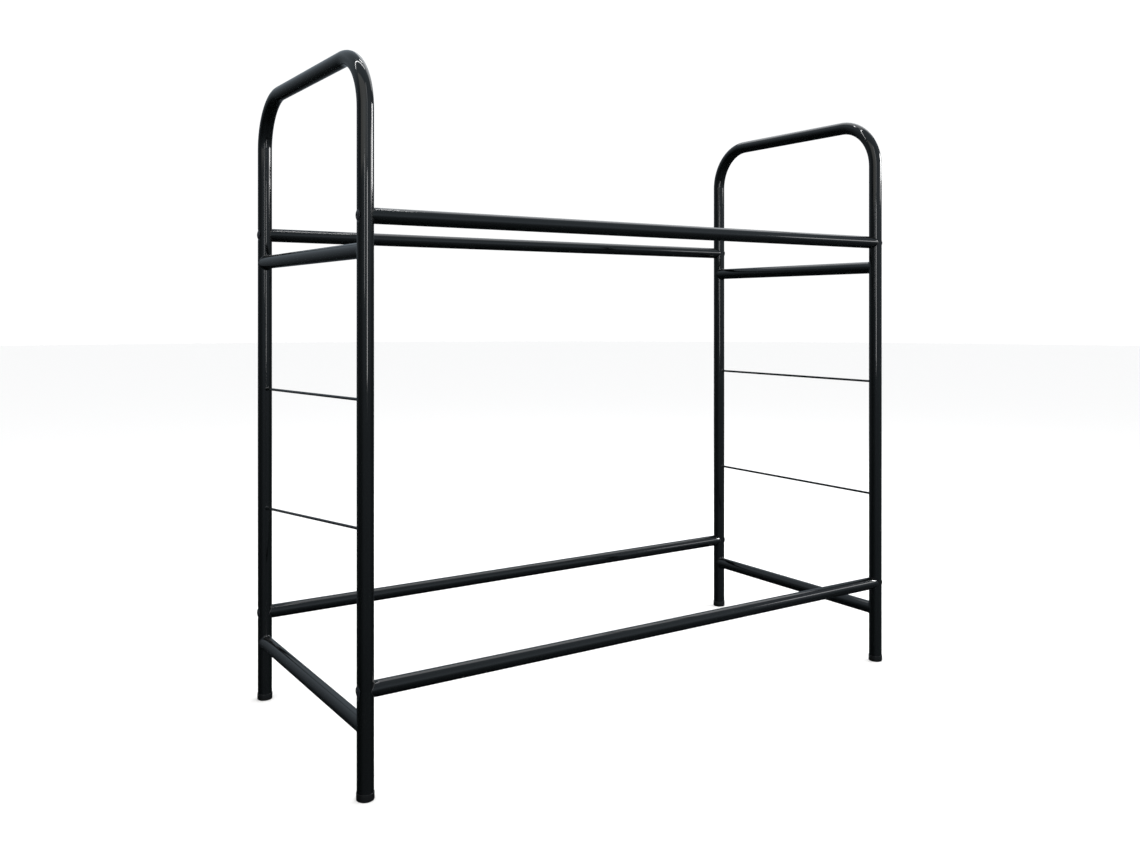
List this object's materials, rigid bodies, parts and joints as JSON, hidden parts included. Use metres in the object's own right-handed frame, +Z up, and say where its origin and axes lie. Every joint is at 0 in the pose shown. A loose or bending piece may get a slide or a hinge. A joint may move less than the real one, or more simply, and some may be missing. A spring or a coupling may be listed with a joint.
{
  "type": "bunk bed frame",
  "caption": "Bunk bed frame of round black steel tube: arched end frames with cross tubes and ladder rungs, joined by bolted side rails.",
  "frame": {"origin": "on the floor, under the middle of the bed", "axes": "+X along the bed from the left end to the right end, +Y from front to back, +Z up"},
  "size_m": [1.9986, 0.8872, 1.958],
  "materials": {
    "enamelled_tube": "gloss",
    "rail_saddle": "matte",
    "foot_cap": "satin",
    "black_bolt": "gloss",
    "zinc_plug": "zinc plated"
  },
  "bodies": {
    "root": {"left_end_tube": "enamelled_tube", "right_end_tube": "enamelled_tube", "left_upper_cross_tube": "enamelled_tube", "left_lower_cross_tube": "enamelled_tube", "right_upper_cross_tube": "enamelled_tube", "right_lower_cross_tube": "enamelled_tube", "left_upper_rung": "enamelled_tube", "left_lower_rung": "enamelled_tube", "right_upper_rung": "enamelled_tube", "right_lower_rung": "enamelled_tube", "front_upper_rail": "enamelled_tube", "front_lower_rail": "enamelled_tube", "back_upper_rail": "enamelled_tube", "back_lower_rail": "enamelled_tube", "front_upper_left_saddle": "rail_saddle", "front_upper_right_saddle": "rail_saddle", "front_lower_left_saddle": "rail_saddle", "front_lower_right_saddle": "rail_saddle", "back_upper_left_saddle": "rail_saddle", "back_upper_right_saddle": "rail_saddle", "back_lower_left_saddle": "rail_saddle", "back_lower_right_saddle": "rail_saddle", "rail_end_plugs": "zinc_plug", "rail_bolts": "black_bolt", "front_left_foot": "foot_cap", "front_right_foot": "foot_cap", "back_left_foot": "foot_cap", "back_right_foot": "foot_cap"}
  },
  "joints": []
}
